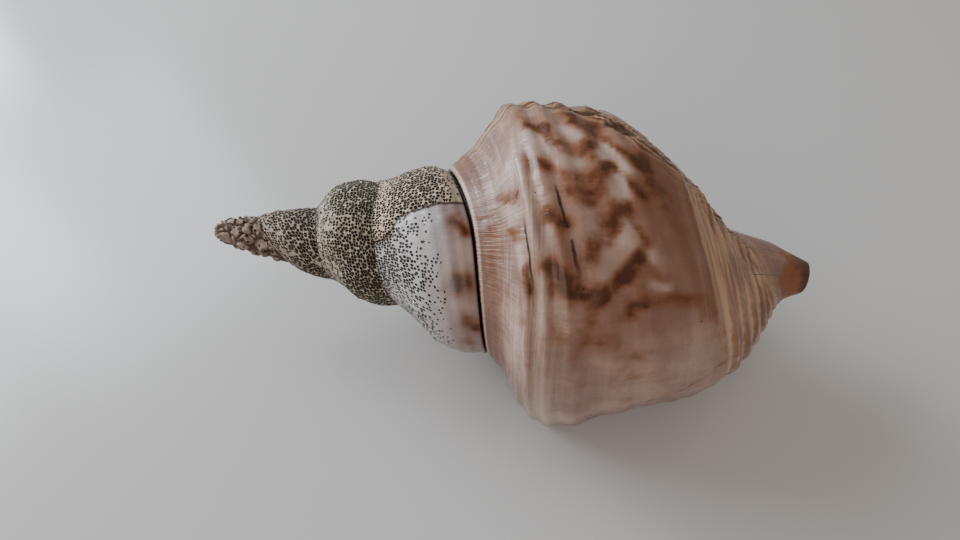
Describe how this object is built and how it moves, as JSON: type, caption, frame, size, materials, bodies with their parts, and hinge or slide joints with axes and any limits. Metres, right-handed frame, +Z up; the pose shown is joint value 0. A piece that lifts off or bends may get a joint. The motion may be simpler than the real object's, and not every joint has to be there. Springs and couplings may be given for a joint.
{
  "type": "triton trumpet shell",
  "caption": "Empty large sea snail shell lying on its mouth: a tall spire with a worn apex, a broad last whorl with a flared outer lip, and a short canal.",
  "frame": {"origin": "centre of the bounding box's bottom face, on the surface that the shell lies on", "axes": "+Z up, +X along the coiling axis from the apex to the canal's tip, and the outer lip on the -Y side"},
  "size_m": [0.2364, 0.119, 0.1053],
  "materials": {
    "shell": "natural glazed shell, cream and brown, chalky and pitted on the spire"
  },
  "bodies": {
    "root": {"shell": "shell"}
  },
  "joints": []
}
